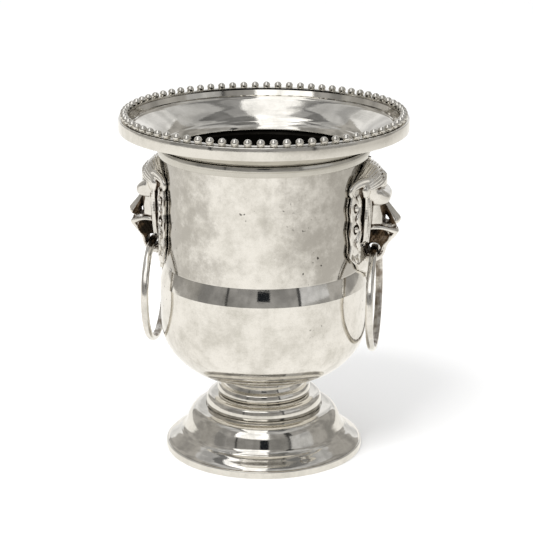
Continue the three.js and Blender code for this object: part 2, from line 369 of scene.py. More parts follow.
# ---------------------------------------------------------------- turned pieces
SHOULDER_SHARP_DEGREES = 9                    # keeps the shoulder's edges crisp


def shoulder_outline():
    """The shoulder below its upper edge: a cone with a slight bulge."""
    outline = []
    for step in range(1, SHOULDER_STEPS + 1):
        share = step / SHOULDER_STEPS
        radius = WALL_R + (BOWL_R - WALL_R) * share
        height = SHOULDER_TOP + (SHOULDER_BASE - SHOULDER_TOP) * share
        outline.append((radius + SHOULDER_BULGE * 4 * share * (1 - share), height))
    return outline


def make_body():
    outside = [(NECK_R, NECK_Z), (NECK_R, COLLAR_Z + 1.2)]
    outside += curve([(WALL_R + 0.5, COLLAR_Z - 1), (WALL_R + 0.2, 212), (WALL_R, 190),
                      (WALL_R, SHOULDER_TOP)])
    outside += shoulder_outline()
    outside += curve([(BOWL_R, SHOULDER_BASE - 0.3), (BOWL_R, 116), (BOWL_R, 104), (75.2, 95), (73.9, 88),
                      (71.2, 81.6), (67, 75.4), (61, 69), (54, 63.8), (46, 60.4), (38, FLOOR_Z)])
    inside = curve([(37, FLOOR_Z + SHEET), (45, 61.9), (53, 65.2), (59.8, 70.2), (65.6, 76.3), (69.8, 82.4),
                    (72.4, 88.4), (73.8, 95.2), (BOWL_R - SHEET, 104), (BOWL_R - SHEET, SHOULDER_BASE - 0.2)])
    inside += [(WALL_R - SHEET, SHOULDER_TOP - 0.2), (WALL_R + 0.4 - SHEET, COLLAR_Z - 2),
               (NECK_R - SHEET, COLLAR_Z + 0.6), (NECK_R - SHEET, NECK_Z)]
    floor = [(BOLT_HOLE_R, FLOOR_Z), (BOLT_HOLE_R, FLOOR_Z + SHEET)]
    piece = turned_piece("body_sheet", outside + floor + inside, "bucket_body", body_silver,
                         SHOULDER_SHARP_DEGREES)
    paint_inside_shade(piece)


def paint_inside_shade(piece):
    """Gives the body's inward faces, and the floor inside, a near-black material: painted shade for the
    inside of the bucket.
    """
    piece.data.materials.append(inside_shade_material)
    for face in piece.data.polygons:
        outward = face.normal.x * face.center.x + face.normal.y * face.center.y
        above_floor = face.center.z > (FLOOR_Z + SHEET / 2) * MM and face.normal.z > 0.5
        if outward < 0 or above_floor:
            face.material_index = 1


def make_flange():
    inside = [(97.9, LIP_Z), (96.7, 245.2)]
    inside += curve([(96.1, 244.9), (95.4, 244.6), (94.6, 244.4)], 3)
    inside += curve([(94.2, 243.9), (93.2, 242.7), (88, 239.6), (82, 236.2), (77, 232.8), (74.6, 230.6)])
    inside += curve([(74.2, 229.9), (73.1, 229.1), (71.9, 227.6), (71.0, 226), (70.4, 224.6),
                     (70.3, THROAT_Z)], 4)
    under = [(71.7, THROAT_Z)]
    under += curve([(72.2, 225.1), (74.7, 228.6), (78, 231.6), (88.6, 237.9), (96, 242.4), (97.8, 244.4)])
    under += [(98.9, LIP_Z - SHEET), (LIP_R, LIP_Z - SHEET), (LIP_R, LIP_Z)]
    turned_piece("mouth_flange", inside + under, "rim_flange", polished_silver)


def make_rim_band():
    inner = 102.6
    outline = [(inner, RIM_Z), (inner, RIM_BASE_Z)]
    outline += curve([(RIM_R - 0.7, RIM_BASE_Z), (RIM_R - 0.2, RIM_BASE_Z + 0.2),
                      (RIM_R, RIM_BASE_Z + 0.7)], 4)
    outline += curve([(RIM_R, RIM_Z - 0.8), (RIM_R - 0.2, RIM_Z - 0.25), (RIM_R - 0.8, RIM_Z)], 4)
    turned_piece("rim_edge_band", outline, "rim_band", rim_silver)


def make_collar():
    inner = NECK_R + GAP
    outline = [(inner, COLLAR_Z)]
    outline += curve([(COLLAR_R - 1.5, COLLAR_Z), (COLLAR_R - 1, COLLAR_Z + 0.4),
                      (COLLAR_R - 0.8, COLLAR_Z + 1)], 4)
    outline += [(COLLAR_R - 0.6, COLLAR_Z + 3.5), (COLLAR_R, COLLAR_Z + 3.9)]
    outline += curve([(COLLAR_R, 229.6), (COLLAR_R - 0.3, 230), (COLLAR_R - 1, 229.8)], 4)
    outline += [(inner, 227.4)]
    turned_piece("neck_band", outline, "neck_collar", collar_silver)


def make_stem():
    """Stacked mouldings: each has a face tilted a little upward, and rolls under below it."""
    top = FLOOR_Z - GAP
    outline = [(24, top), (24, SPOOL_Z), (33.4, SPOOL_Z)]
    outline += curve([(33.6, 42), (34.2, 43), (SPOOL_R, 44.3), (SPOOL_R, 45.2)], 5)
    outline += curve([(33.9, 47.6), (33.5, 48.3), (32.7, 48.9), (31.6, 49.3), (31, 49.4)], 5)
    outline += [(30.9, 49.8), (30.2, 52.8), (29.7, 53.3), (29.6, 53.7), (28.7, 57), (28.8, 57.5), (32, top)]
    turned_piece("stem", outline, "stem_spool", polished_silver)
    ring = [(27, SPOOL_Z - GAP), (27, STEM_RING_Z), (41.6, STEM_RING_Z)]
    ring += curve([(41.8, 30.8), (42.5, 32.2), (42.9, 34), (STEM_RING_R, 35.4)], 5)
    ring += curve([(42.3, 38.2), (41.9, 39.2), (40.9, 40.4), (39.3, 41.2), (37.4, SPOOL_Z - GAP)], 5)
    turned_piece("stem_seat_ring", ring, "stem_ring", polished_silver)


def make_foot():
    seat = STEM_RING_Z - GAP
    outside = [(BOLT_HOLE_R, seat), (42.6, seat), (42.8, 31.3)]
    outside += curve([(43.2, 31.7), (47.6, 31.3), (50.8, 30.1), (53.4, 27.6), (55.6, 23.8), (57.4, 19.2),
                      (58.8, 15.9), (60.2, 14.1), (61.2, 13.3)], 7)
    outside += curve([(61.6, 12.9), (63.6, 11.7), (66, 10), (68.4, 8.4), (70.3, 7), (71.5, FOOT_SHELL_Z)], 6)
    inside = [(70, FOOT_SHELL_Z)]
    inside += curve([(69.2, 6), (67.2, 7.4), (64.9, 9), (62.5, 10.6), (60.4, 11.9), (58.7, 13.4),
                     (57.3, 15.6), (56, 18.8), (54.2, 22.9), (52.2, 26.4), (49.6, 28.7), (46, seat - SHEET)])
    inside += [(BOLT_HOLE_R, seat - SHEET)]
    turned_piece("foot_dome", outside + inside, "foot_shell", polished_silver)
    top = FOOT_SHELL_Z - GAP
    band = [(69.6, top), (69.6, 0)]
    band += curve([(FOOT_R - 0.6, 0), (FOOT_R - 0.15, 0.15), (FOOT_R, 0.6)], 4)
    band += curve([(FOOT_R, 4.2), (FOOT_R - 0.2, 4.9), (FOOT_R - 0.9, top)], 4)
    turned_piece("foot_base_band", band, "foot_rim_band", rim_silver)


def add_ball(vertices, faces, centre, rings=9, sides=16):
    """Appends one bead to a mesh's vertices and faces."""
    first = len(vertices)
    vertices.append(tuple(centre + (0, 0, BEAD_R)))
    for j in range(1, rings):
        tilt = math.pi * j / rings
        for k in range(sides):
            turn = 2 * math.pi * k / sides
            level, rise = math.sin(tilt), math.cos(tilt)
            offset = np.array([level * math.cos(turn), level * math.sin(turn), rise])
            vertices.append(tuple(centre + BEAD_R * offset))
    vertices.append(tuple(centre - (0, 0, BEAD_R)))
    last = len(vertices) - 1
    for k in range(sides):
        n = (k + 1) % sides
        faces.append((first, first + 1 + k, first + 1 + n))
        for j in range(rings - 2):
            a = first + 1 + j * sides
            faces.append((a + k, a + sides + k, a + sides + n, a + n))
        a = first + 1 + (rings - 2) * sides
        faces.append((a + n, a + k, last))


def make_beads():
    """Round beads sunk in a narrow strip, as beaded wire is rolled."""
    base = LIP_Z + GAP
    inner, outer = BEAD_CIRCLE_R - 2.1, BEAD_CIRCLE_R + 1.8
    strip = [(inner, base), (outer, base), (outer, base + 1.1), (BEAD_CIRCLE_R + 1.4, base + 1.4),
             (BEAD_CIRCLE_R - 1.7, base + 1.4), (inner, base + 1.1)]
    strip_mesh = turned_mesh("strip", strip, BEAD_COUNT * 3)
    vertices = [tuple(v.co / MM) for v in strip_mesh.vertices]
    faces = [tuple(p.vertices) for p in strip_mesh.polygons]
    bead_z = base + BEAD_R + 0.05
    for i in range(BEAD_COUNT):
        angle = (i + 0.5) * 2 * math.pi / BEAD_COUNT
        centre = np.array([BEAD_CIRCLE_R * math.cos(angle), BEAD_CIRCLE_R * math.sin(angle), bead_z])
        add_ball(vertices, faces, centre)
    mesh = mesh_from("beaded_wire", vertices, faces, 50)
    link_piece("beaded_wire", mesh, "root", ["bead_border"], polished_silver)


make_body()
make_flange()
make_rim_band()
make_collar()
make_stem()
make_foot()
make_beads()


# ---------------------------------------------------------------- ring handles
RING_STEPS = 160                              # round the ring
RING_SIDES = 28                               # round the bar
INNER_FACE_SHADE = 0.62                          # hollow value of the face that looks to the ring's centre: painted shade, brownish, on the ring's inner face


def squared(value, power):
    """A sine or cosine drawn out towards a squarer section."""
    return math.copysign(abs(value) ** power, value)


def make_ring(side_name, side):
    """An oval bar bent round a circle, a little flattened on its faces."""
    vertices, faces, hollow = [], [], []
    for i in range(RING_STEPS):
        angle = 2 * math.pi * i / RING_STEPS
        for j in range(RING_SIDES):
            turn = 2 * math.pi * j / RING_SIDES
            radius = RING_R + RING_T / 2 * squared(math.cos(turn), 0.9)
            x = RING_X + RING_W / 2 * squared(math.sin(turn), 0.85)
            vertices.append((side * x, radius * math.sin(angle), RING_Z + radius * math.cos(angle)))
            faces_centre = math.cos(turn) < -0.35
            # painted shade on the ring's inner face
            hollow.append(INNER_FACE_SHADE if faces_centre else 0.0)
    for i in range(RING_STEPS):
        n = (i + 1) % RING_STEPS
        for j in range(RING_SIDES):
            m = (j + 1) % RING_SIDES
            quad = (i * RING_SIDES + j, i * RING_SIDES + m, n * RING_SIDES + m, n * RING_SIDES + j)
            faces.append(quad if side > 0 else quad[::-1])
    mesh = mesh_from("ring_" + side_name, vertices, faces, 60)
    set_hollow(mesh, hollow)
    link_piece("handle_ring_" + side_name, mesh, "ring_" + side_name, ["ring_handle_" + side_name],
               cast_silver)


def set_hollow(mesh, values):
    attribute = mesh.attributes.new("hollow", "FLOAT", "POINT")
    attribute.data.foreach_set("value", np.asarray(values, dtype=np.float32))


make_ring("right", 1)
make_ring("left", -1)

# ---------------------------------------------------------------- lion masks
WALL_GAP = 0.6                                # between the casting's back and the wall
SHOULDER_SLOPE = (BOWL_R - WALL_R) / (SHOULDER_TOP - SHOULDER_BASE)
MASK_TOP = high("lion_mask_right")[2]
MASK_FOOT = low("lion_mask_right")[2]
MASK_HALF_WIDTH = high("lion_mask_right")[1]
MASK_FRONT = high("lion_mask_right")[0]
MASK_BACK = WALL_R * math.cos(math.asin(MASK_HALF_WIDTH / WALL_R))
CURL_PITCH = 17.0                             # between the curls of the side locks
FIRST_CURL_Z = 191.5
RING_CLEARANCE = 4.1                          # round the ring's own axis, in the mouth
RING_SIDE_REACH = 24                          # how far sideways the ring runs inside the lion
SCREW_HOLE_R = 2.3
SCREW_END_GAP = 0.4
GRID_MARGIN = 3                               # of the grid round the casting
LOCK_MARGIN = 4                               # how far from a lock its distance is worked out
FAR = 50.0                                    # distance held by a grid with nothing in it yet
HAIR_STEPS = 5                                # between the points of a lock


def smooth_min(a, b, blend):
    mixing = np.clip(0.5 + 0.5 * (b - a) / blend, 0, 1)
    return b + (a - b) * mixing - blend * mixing * (1 - mixing)


def smooth_max(a, b, blend):
    return -smooth_min(-a, -b, blend)


class Casting:
    """One half (y <= 0) of a lion's mask as a grid of signed distances, in mm."""

    def __init__(self, step):
        self.step = step
        self.x = np.arange(MASK_BACK - GRID_MARGIN, MASK_FRONT + GRID_MARGIN, step)
        self.y = np.arange(-MASK_HALF_WIDTH - GRID_MARGIN, step / 2, step)
        self.y -= self.y[-1]
        self.z = np.arange(MASK_FOOT - GRID_MARGIN, MASK_TOP + GRID_MARGIN, step)
        self.X, self.Y, self.Z = np.meshgrid(self.x, self.y, self.z, indexing="ij")
        self.R = np.hypot(self.X, self.Y)
        self.d = np.full(self.X.shape, FAR)

    def window(self, lows, highs):
        """The part of the grid inside a box, as slices."""
        picks = []
        for axis, a, b in zip((self.x, self.y, self.z), lows, highs):
            picks.append(slice(np.searchsorted(axis, a), np.searchsorted(axis, b)))
        return tuple(picks)

    def stroke(self, points, radii, blend=0.5, cut=False):
        """Adds (or cuts) a round bar along points, its radius running through radii."""
        points = np.asarray(points, dtype=float)
        radii = np.interp(np.linspace(0, 1, len(points)), np.linspace(0, 1, len(radii)), radii)
        for a, b, ra, rb in zip(points, points[1:], radii, radii[1:]):
            reach = max(ra, rb) + LOCK_MARGIN
            w = self.window(np.minimum(a, b) - reach, np.maximum(a, b) + reach)
            offset = [self.X[w] - a[0], self.Y[w] - a[1], self.Z[w] - a[2]]
            along = b - a
            t = sum(o * c for o, c in zip(offset, along)) / max(along @ along, 1e-9)
            t = np.clip(t, 0, 1)
            gap = np.sqrt(sum((o - t * c) ** 2 for o, c in zip(offset, along))) - (ra + t * (rb - ra))
            self.merge(w, gap, blend, cut)

    def smooth_stroke(self, points, radii, blend):
        """Adds a round bar along a smooth run through points."""
        self.stroke(curve(points, HAIR_STEPS), radii, blend)

    def merge(self, w, gap, blend, cut):
        """Adds (or cuts) a shape, given its distances in a window of the grid."""
        if cut:
            self.d[w] = smooth_max(self.d[w], -gap, blend)
        else:
            self.d[w] = smooth_min(self.d[w], gap, blend)

    def lump(self, centre, radii, blend=1.5, power=2.0, cut=False):
        """Adds (or cuts) an ellipsoid, squarer as power rises."""
        centre = np.array(centre, dtype=float)
        radii = np.array(radii, dtype=float)
        w = self.window(centre - radii - LOCK_MARGIN, centre + radii + LOCK_MARGIN)
        grids = (self.X[w], self.Y[w], self.Z[w])
        parts = [np.abs((grid - c) / r) ** power for grid, c, r in zip(grids, centre, radii)]
        gap = (sum(parts) ** (1 / power) - 1) * min(radii)
        self.merge(w, gap, blend, cut)

    def lock(self, points, radii, strands=3, blend=0.35):
        """A lock of hair: strands laid side by side along a smooth path."""
        path = np.array(curve(points, HAIR_STEPS))
        along = np.gradient(path, axis=0)
        outward = path * (1, 1, 0)
        across = np.cross(along, outward)
        across /= np.linalg.norm(across, axis=1)[:, None]
        width = np.interp(np.linspace(0, 1, len(path)), np.linspace(0, 1, len(radii)), radii)
        strand_radii = [r * (1.25 / strands) for r in radii]
        for i in range(strands):
            place = (i - (strands - 1) / 2) / strands * 2
            strand = path + across * (place * width)[:, None]
            self.stroke(strand, strand_radii, blend)


def add_mane_pad(lion):
    """The shell that hugs the wall and carries the hair, its edge waved like the side locks."""
    heights = [MASK_FOOT, 140, 144, 150, 158, 166, 186, 200, 206, 212, 216, MASK_TOP]
    widths = [3, 10, 19.5, 25.5, 30, 32, 32.2, 31, 28, 21.5, 14, 2]
    half_width = np.interp(lion.Z, heights, widths)
    half_width += 0.8 * np.cos((lion.Z - FIRST_CURL_Z) * 2 * math.pi / CURL_PITCH)
    arc = WALL_R * np.abs(np.arctan2(lion.Y, lion.X))
    swell = np.sqrt(np.clip(1 - (arc / half_width) ** 2, 0, 1))
    top = WALL_R + 2.3 + 3.2 * swell
    lion.d = np.minimum(lion.d, smooth_max(0.8 * (lion.R - top), 0.8 * (arc - half_width), 1.2))


def add_crown(lion):
    """Combed strands that fall from the crest to both sides."""
    centre, radii = np.array([73.0, 0, 203.0]), np.array([14.3, 22.5, 16.6])
    lion.lump(centre, radii - 0.5, 1.0)
    strands = 10
    for i in range(strands):
        share = i / (strands - 1)
        angle = math.radians(8 + 74 * share)
        start = np.array([math.sin(angle), 0.0, math.cos(angle)])
        end = np.array([-0.10 + 0.55 * share, -0.90, 0.62 - 0.62 * share])
        end /= np.linalg.norm(end)
        path = []
        for t in np.linspace(0, 1, 12):
            direction = start * (1 - t) + end * t + np.array([0.18, 0, 0.10]) * t * (1 - t)
            path.append(centre + radii * direction / np.linalg.norm(direction))
        lion.stroke(path, [0.9, 1.2, 1.15, 0.7], 0.15)


def on_wall(arc, rise, z):
    """A point beside the mask: arc mm round the wall from its middle, rise mm off the wall."""
    angle = arc / WALL_R
    radius = WALL_R + rise
    return (radius * math.cos(angle), -radius * math.sin(angle), z)


def curl_wave(z):
    """The side locks' wave, 1 at each curl."""
    return math.cos((z - FIRST_CURL_Z) * 2 * math.pi / CURL_PITCH)


def add_forelock(lion):
    for drop in (0, 2.2, 4.4):
        lion.smooth_stroke([(84.6, -0.6, 213.5 - drop), (87.2, -2.2, 209.5 - drop),
                            (87.0, -5.2, 206.2 - drop), (84.6, -9.0, 204.6 - drop * 0.5)],
                           [1.0, 1.5, 1.4, 0.8], 0.4)
    lion.lock([(83, -10, 205.8), (78.5, -17.0, 208.4), (73.2, -24, 209.0), (68.4, -29.2, 206.6),
               (67.0, -30.8, 202.6), (68.8, -28.6, 199.0)], [1.6, 2.5, 3.0, 2.8, 2.4, 1.3], 2)


def add_ear(lion):
    lion.lump((75.6, -20.4, 202.6), (3.6, 4.4, 5.9), 0.7)
    lion.stroke([(79.6, -23.0, 206.2), (78.6, -23.4, 200.0)], [0.5, 1.1], 0.3, cut=True)


def add_side_locks(lion):
    """Two waved locks down the side, parted by round curls."""
    outer, inner = [], []
    for i in range(13):
        z = 200.0 - i * CURL_PITCH / 4
        wave = curl_wave(z)
        taper = max(0, (158 - z) / 12) ** 1.6
        outer.append(on_wall(31.6 + 0.9 * wave - 10.5 * taper, 2.6, z))
        inner.append(on_wall(24.2 - 2.2 * wave - 6.5 * taper, 4.6, z))
    lion.lock(outer, [1.7, 2.2, 2.2, 2.2, 1.9, 0.7], 3, 0.2)
    lion.lock(inner, [1.6, 2.1, 2.1, 2.1, 1.8, 0.7], 3, 0.2)
    for z in (FIRST_CURL_Z, FIRST_CURL_Z - CURL_PITCH + 1.5):
        lion.lump(on_wall(28.2, 5.2, z), (3.0, 2.4, 4.0), 0.3, cut=True)
        lion.lump(on_wall(28.2, 4.0, z), (1.9, 1.9, 2.4), 0.2)


def add_cheek_strands(lion):
    """Three long strands between the side locks and the cheek."""
    for i, (depth, side) in enumerate(((76.4, -21.2), (77.6, -18.6), (78.3, -16.2))):
        wave = 0.5 * (-1) ** i
        lion.smooth_stroke([(depth, side, 199), (depth + 0.4, side + wave, 190), (depth, side - wave, 180),
                            (depth - 0.8, side + wave, 170), (depth - 1.9, side - wave + 0.6, 160),
                            (depth - 3.6, side + 1.6, 149)], [1.0, 1.5, 1.6, 1.6, 1.5, 1.0], 0.2)


def add_beard(lion):
    lion.lock([(73.0, -21.4, 160), (72.6, -20.6, 152), (71.2, -18.6, 143.6)], [2.4, 2.6, 0.7], 3)
    lion.lock([(74.0, -14.0, 158), (74.4, -12.6, 148), (74.4, -10.4, 139.4)], [2.8, 3.0, 0.8], 3)
    lion.lock([(75.2, -5.0, 154), (76.4, -4.0, 145), (75.8, -1.6, 137.6)], [3.2, 3.2, 0.9], 3)


def add_brow(lion):
    """Two joined lumps, cut flat below and sloped above, with a groove down the middle."""
    brow = Casting(lion.step)
    for side in (-5.0, 5.0):
        brow.lump((80.0, side, 196.8), (12.4, 10.2, 8.4), 1.0, 3.0)
    under = 188.4 + (lion.X - 77) * 0.22 - lion.Z
    over = lion.Z - 204.6 + np.clip(lion.X - 83.0, 0, None) * 0.75
    brow.d = smooth_max(smooth_max(brow.d, under, 0.4), over * 0.8, 2.5)
    lion.d = smooth_min(lion.d, brow.d, 0.4)
    lion.stroke([(93.5, 0, 203), (94.4, 0, 194)], [0.6, 1.0], 1.2, cut=True)
    lion.stroke([(80, -15.6, 205), (79.4, -15.8, 196), (79.0, -15.6, 184.0)], [0.9, 1.3, 0.7], 0.4, cut=True)


def add_nose(lion):
    """The groove beside the nose, its bridge and side, the nostril's wing and the cut under it."""
    lion.stroke([(87.4, -6.4, 188.4), (89.4, -7.2, 183.6), (91.6, -7.4, 179.2)],
                [1.4, 2.2, 2.9], 0.5, cut=True)
    lion.stroke([(86.6, 0, 189.4), (95.8, 0, 177.8)], [3.5, 3.8], 0.6)
    lion.stroke([(88.4, -2.2, 187.6), (95.0, -2.8, 178.2)], [1.6, 2.6], 0.5)
    lion.lump((94.6, -3.2, 177.0), (3.6, 2.9, 2.9), 0.6)
    lion.stroke([(98.0, 0, 173.6), (94.6, -5.6, 173.4)], [1.1, 1.3], 0.3, cut=True)


def add_mouth(lion):
    """The opening, its lip, the rough filling of its middle and the strap in front of the ring."""
    mouth = mouth_gap(lion.X, lion.Z)
    lion.d = smooth_max(lion.d, -mouth, 0.6)
    lion.smooth_stroke([(74.6, -13.8, 170.0), (77.6, -13.9, 173.0), (82.0, -13.6, 174.0),
                        (87.0, -11.6, 173.4), (92.2, -8.2, 171.4), (96.0, -3.6, 169.0), (96.6, 0, 168.6)],
                       [1.0, 1.2, 1.2, 1.5, 1.8], 0.6)
    rough = 0.5 * np.sin(lion.X * 2.1 + 0.4 * lion.Z) * np.sin(lion.Z * 1.7)
    # the filled middle stands where the mouth is open; hollow_amount paints it black as painted shade
    middle = np.maximum(mouth - 1.0, np.abs(lion.Y) - 8.0)
    lion.d = smooth_min(lion.d, middle + rough, 0.4)
    for side in (0, -3.0):
        lion.smooth_stroke([(96.0, side, 168.4), (92.0, side, 163.6), (88.6, side, 158.8),
                            (87.2, side * 1.1, 154.4), (85.2, side * 1.3, 150.8),
                            (81.0, side * 1.5, 148.8), (76.0, side * 1.6, 149.4)],
                           [1.9, 1.7, 1.7, 1.9, 2.4, 3.2], 0.6)


def add_face(lion):
    """Cheeks and muzzle, then the brow, the nose and the mouth."""
    lion.lump((76, 0, 186), (12.6, 13.4, 24), 1.0, 3.0)
    lion.lump((88.2, 0, 171.4), (8.6, 8.2, 4.8), 1.2, 2.5)
    add_brow(lion)
    add_nose(lion)
    add_mouth(lion)


def mouth_gap(x, z):
    """Distance outside the mouth's opening, seen from the side."""
    main = np.hypot(x - 81.0, z - 164.9) - 8.0
    front = np.hypot(x - 87.0, z - 166.2) - 4.4
    ring = np.hypot(x - RING_X, z - PIVOT_Z - 0.6) - 4.8
    return smooth_min(smooth_min(main, front, 2.5), ring, 2.5)


def clear_the_neighbours(lion):
    """Frees the ring's path, the wall behind and the two blind screw holes."""
    bend = RING_R - np.sqrt(np.clip(RING_R ** 2 - lion.Y ** 2, 0, None))
    ring_path = RING_CLEARANCE + bend - np.hypot(lion.X - RING_X, lion.Z - PIVOT_Z)
    near = np.abs(lion.Y) < RING_SIDE_REACH
    lion.d = np.where(near, np.maximum(lion.d, ring_path), lion.d)
    wall = WALL_R + WALL_GAP + np.clip(SHOULDER_TOP - lion.Z, 0, None) * SHOULDER_SLOPE
    lion.d = np.maximum(lion.d, wall - lion.R)
    for which in ("upper", "lower"):
        node = "mask_screw_right_" + which
        axis_z = (low(node)[2] + high(node)[2]) / 2
        end = high(node)[0] + SCREW_END_GAP
        hole = np.maximum(np.hypot(lion.Y, lion.Z - axis_z) - SCREW_HOLE_R, lion.X - end)
        lion.d = np.maximum(lion.d, -hole)


def at_corner(d, corner, size):
    """The grid's values at the same corner of every cell."""
    i, j, k = corner
    return d[i:i + size[0], j:j + size[1], k:k + size[2]]


def cell_vertices(d, size):
    """A vertex for each cell that the surface crosses, in cells, and the number of each cell's vertex."""
    total = np.zeros((*size, 3))
    hits = np.zeros(size)
    for a in [(i, j, k) for i in (0, 1) for j in (0, 1) for k in (0, 1)]:
        for axis in range(3):
            if a[axis]:
                continue
            b = list(a)
            b[axis] = 1
            da, db = at_corner(d, a, size), at_corner(d, b, size)
            crossed = (da < 0) != (db < 0)
            t = np.where(crossed, da / np.where(crossed, da - db, 1), 0)
            for m in range(3):
                total[..., m] += np.where(crossed, a[m] + (t if m == axis else 0), 0)
            hits += crossed
    used = hits > 0
    index = np.full(size, -1)
    index[used] = np.arange(used.sum())
    return np.argwhere(used) + total[used] / hits[used][:, None], index


def crossed_edge_quads(inside, index, size, axis):
    """A face round each edge of the grid along one axis that the surface crosses."""
    u, v = (axis + 1) % 3, (axis + 2) % 3
    lower = [slice(None)] * 3
    upper = [slice(None)] * 3
    lower[axis], upper[axis] = slice(0, -1), slice(1, None)
    starts, ends = inside[tuple(lower)], inside[tuple(upper)]
    quads = []
    for flip, pick in ((False, starts & ~ends), (True, ~starts & ends)):
        edge = np.argwhere(pick)
        edge = edge[(edge[:, u] > 0) & (edge[:, u] < size[u])]
        edge = edge[(edge[:, v] > 0) & (edge[:, v] < size[v])]
        around = []
        for du, dv in ((1, 1), (0, 1), (0, 0), (1, 0)):
            cell = edge.copy()
            cell[:, u] -= du
            cell[:, v] -= dv
            around.append(index[tuple(cell.T)])
        quad = np.stack(around, axis=1)
        quads.append(quad[:, ::-1] if flip else quad)
    return quads


def surface_nets(d, step, origin):
    """Meshes the zero level of a grid of distances with one vertex per crossed cell."""
    size = [n - 1 for n in d.shape]
    vertices, index = cell_vertices(d, size)
    quads = []
    for axis in range(3):
        quads += crossed_edge_quads(d < 0, index, size, axis)
    return vertices * step + origin, np.vstack(quads)


def sample(d, points, step, origin):
    """Reads the grid of distances between its points, by its eight nearest."""
    place = np.clip((points - origin) / step, 0, np.array(d.shape) - 1.001)
    cell = place.astype(int)
    t = place - cell
    value = 0
    for i in (0, 1):
        for j in (0, 1):
            for k in (0, 1):
                weight = np.abs(1 - i - t[:, 0]) * np.abs(1 - j - t[:, 1]) * np.abs(1 - k - t[:, 2])
                value = value + weight * d[cell[:, 0] + i, cell[:, 1] + j, cell[:, 2] + k]
    return value


HOLLOW_REACHES = ((1.2, 0.9), (2.4, 0.6), (4.5, 0.35))   # how far out to look, and its weight
OPEN_SURFACE = 0.16                           # amount that counts as no hollow


def beside_nose(vertices):
    """Painted shade in the slanting groove between nose and cheek."""
    x, y, z = vertices[:, 0], np.abs(vertices[:, 1]), vertices[:, 2]
    away = np.hypot(x - 89.6 + (z - 182.5) * 0.5, (y - 6.8) * 0.8)
    amount = np.clip((4.6 - away) / 1.4, 0, 0.95)
    return amount * (z > 175.2) * (z < 190) * (y > 3.4)


def hollow_amount(d, vertices, step, origin):
    """How deep in a hollow each vertex lies: the distance that is missing a little way out. It sets tarnish
    and painted shade, and the nose groove and the mouth's inside are added as painted shade.
    """
    slope = np.stack(np.gradient(d, step), axis=-1)
    normal = np.stack([sample(slope[..., m], vertices, step, origin) for m in range(3)], axis=1)
    normal /= np.linalg.norm(normal, axis=1)[:, None] + 1e-9
    amount = np.zeros(len(vertices))
    for reach, weight in HOLLOW_REACHES:
        free = sample(d, vertices + normal * reach, step, origin)
        amount += weight * np.clip(1 - free / reach, 0, 1)
    amount = np.maximum(amount - OPEN_SURFACE, beside_nose(vertices))
    off_wall = np.hypot(vertices[:, 0], vertices[:, 1]) - WALL_R - WALL_GAP
    shown = np.clip((off_wall - 0.4) / 1.6, 0, 1)
    # painted shade: the mouth's inside, its filled middle too, is painted black
    mouth = mouth_gap(vertices[:, 0], vertices[:, 2])
    in_mouth = np.clip(1.3 - mouth, 0, 1) * (np.abs(vertices[:, 1]) < 11)
    return np.clip(np.maximum(amount * shown, in_mouth), 0, 1)


def make_lions():
    """Sculpts one half of a mask, mirrors it to make the whole, and uses that on both sides."""
    step = 0.5
    lion = Casting(step)
    add_mane_pad(lion)
    add_face(lion)
    add_crown(lion)
    add_forelock(lion)
    add_ear(lion)
    add_side_locks(lion)
    add_cheek_strands(lion)
    add_beard(lion)
    clear_the_neighbours(lion)
    d = np.concatenate([lion.d, lion.d[:, -2::-1, :]], axis=1)
    origin = np.array([lion.x[0], lion.y[0], lion.z[0]])
    vertices, quads = surface_nets(d, step, origin)
    hollow = hollow_amount(d, vertices, step, origin)
    for side_name, side in (("right", 1), ("left", -1)):
        faces = quads if side > 0 else quads[:, ::-1]
        mesh = mesh_from("lion_" + side_name, vertices * (side, 1, 1), faces.tolist(), 180)
        set_hollow(mesh, hollow)
        link_piece("lion_face_" + side_name, mesh, "root", ["lion_mask_" + side_name],
                   cast_silver)


make_lions()


# ---------------------------------------------------------------- stage, in metres
WARM = (1.0, 0.98, 0.95)
WARMER = (1.0, 0.97, 0.92)
BLUISH = (0.75, 0.85, 1.0)
FLOOR_LEFT = (1.04, 1.02, 0.975)              # the mirrored floor's light, to the left and in the middle
FLOOR_RIGHT = (0.70, 0.68, 0.64)              # and to the right
FLOOR_HALF = 9
FLOOR_WHITES = ((0.90, 0.90, 0.90), (0.93, 0.93, 0.93))
CARD_SHADE = 0.72                             # a card's darkest and brightest light, as shares
CARD_SHINE = 1.12
CARD_STEPS = 16                               # facets along a wall card
WHITE_TINT = (1, 1, 1)


def clouded_light(nodes, links, tint):
    """A card's light, uneven as a lit wall is."""
    dim = tuple(CARD_SHADE * t for t in tint)
    bright = tuple(CARD_SHINE * t for t in tint)
    clouds = ramp(nodes, links, noise(nodes, links, 1.3, 3), 0.35, 0.62)
    return mix_colour(nodes, links, clouds, dim, bright)


def floor_light(nodes, links, _tint):
    """The mirrored floor's light, which falls off to the right and has no tint of its own."""
    sideways = ramp(nodes, links, split_position(nodes, links)["X"], 0.1, 1.2)
    return mix_colour(nodes, links, sideways, FLOOR_LEFT, FLOOR_RIGHT)


def emission_card(name, vertices, faces, strength, tint=WHITE_TINT, light=clouded_light):
    """A surface of the studio that only reflections see."""
    mesh = bpy.data.meshes.new(name)
    mesh.from_pydata(vertices, [], faces)
    card = bpy.data.objects.new(name, mesh)
    bpy.context.scene.collection.objects.link(card)
    material, nodes, links, shader = new_material(name)
    shader.inputs["Base Color"].default_value = (0, 0, 0, 1)
    shader.inputs["Roughness"].default_value = 1
    shader.inputs["Specular IOR Level"].default_value = 0
    shader.inputs["Emission Strength"].default_value = strength
    links.new(light(nodes, links, tint), shader.inputs["Emission Color"])
    mesh.materials.append(material)
    card.visible_camera = False
    card.visible_diffuse = False
    card.visible_shadow = False
    card.visible_transmission = False


